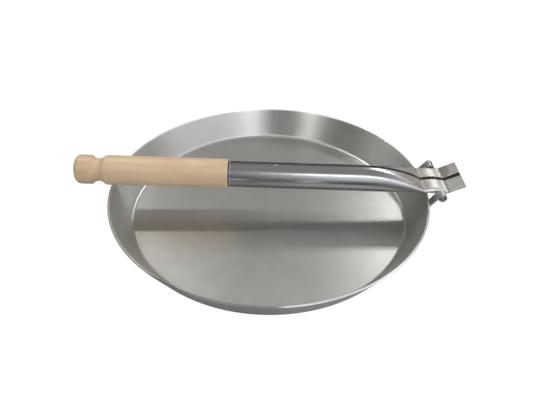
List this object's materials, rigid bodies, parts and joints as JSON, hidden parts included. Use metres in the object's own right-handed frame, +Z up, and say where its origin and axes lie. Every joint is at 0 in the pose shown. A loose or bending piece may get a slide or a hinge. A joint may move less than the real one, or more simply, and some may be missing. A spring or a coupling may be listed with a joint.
{
  "type": "folding-handle frying pan",
  "caption": "Round shallow steel frying pan with a flared wall and a wood-gripped tubular handle that hinges at the rim and folds flat across the pan.",
  "frame": {"origin": "middle of the pan's flat underside", "axes": "+Z up out of the pan, +X from the middle towards the hinge, +Y along the hinge pin; the handle is folded, so its grip points to -X"},
  "size_m": [0.4812, 0.3998, 0.0777],
  "materials": {
    "pan_steel": "satin, pressed sheet",
    "hinge_steel": "plain bent strip and rod",
    "tube_steel": "bright drawn sheet",
    "nail_steel": "bright",
    "beech": "turned, sanded, unvarnished"
  },
  "bodies": {
    "pan_body": {"pan": "pan_steel", "front_hinge_strap": "hinge_steel", "rear_hinge_strap": "hinge_steel", "hinge_pin": "hinge_steel"},
    "handle": {"handle_socket": "tube_steel", "wooden_grip": "beech", "grip_nail": "nail_steel"}
  },
  "joints": [
    {"name": "handle_fold", "type": "hinge", "parent": "pan_body", "child": "handle", "pos_m": [0.2105, 0, 0.0481], "axis": [0, 1, 0], "range_deg": [0, 140]}
  ]
}
